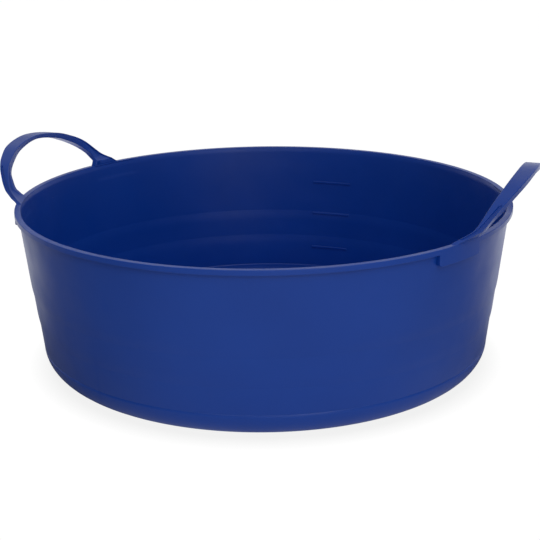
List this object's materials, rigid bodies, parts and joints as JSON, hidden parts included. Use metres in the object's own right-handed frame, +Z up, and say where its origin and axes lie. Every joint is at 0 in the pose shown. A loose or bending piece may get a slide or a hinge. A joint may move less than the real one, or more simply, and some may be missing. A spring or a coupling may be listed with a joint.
{
  "type": "mortar mixing tub",
  "caption": "Wide shallow flexible mixing tub with a flat floor, tapered stepped wall, rolled rim and two loop handles that flex in and out.",
  "frame": {"origin": "centre of the flat underside of the floor, where the tub stands", "axes": "+Z up out of the open mouth, X through the two handles with the slightly taller handle at +X, level marks on the wall at +Y"},
  "size_m": [0.622, 0.565, 0.2452],
  "materials": {
    "tub_plastic": "satin moulded polyethylene"
  },
  "bodies": {
    "tub": {"floor_pan": "tub_plastic", "side_wall": "tub_plastic", "rim_band": "tub_plastic", "left_front_foot_pad": "tub_plastic", "left_front_foot_ramp": "tub_plastic", "left_back_foot_pad": "tub_plastic", "left_back_foot_ramp": "tub_plastic", "right_front_foot_pad": "tub_plastic", "right_front_foot_ramp": "tub_plastic", "right_back_foot_pad": "tub_plastic", "right_back_foot_ramp": "tub_plastic", "level_mark_1": "tub_plastic", "level_mark_2": "tub_plastic", "level_mark_3": "tub_plastic"},
    "left_handle": {"left_handle_loop": "tub_plastic"},
    "right_handle": {"right_handle_loop": "tub_plastic"}
  },
  "joints": [
    {"name": "left_handle_flex", "type": "hinge", "parent": "tub", "child": "left_handle", "pos_m": [-0.26796, -0.00468, 0.1939], "axis": [0.0174, -0.9998, 0], "range_deg": [-74, 16], "stiffness_Nm_per_rad": 0.6},
    {"name": "right_handle_flex", "type": "hinge", "parent": "tub", "child": "right_handle", "pos_m": [0.268, 0, 0.1939], "axis": [0, 1, 0], "range_deg": [-71, 19], "stiffness_Nm_per_rad": 0.6}
  ]
}
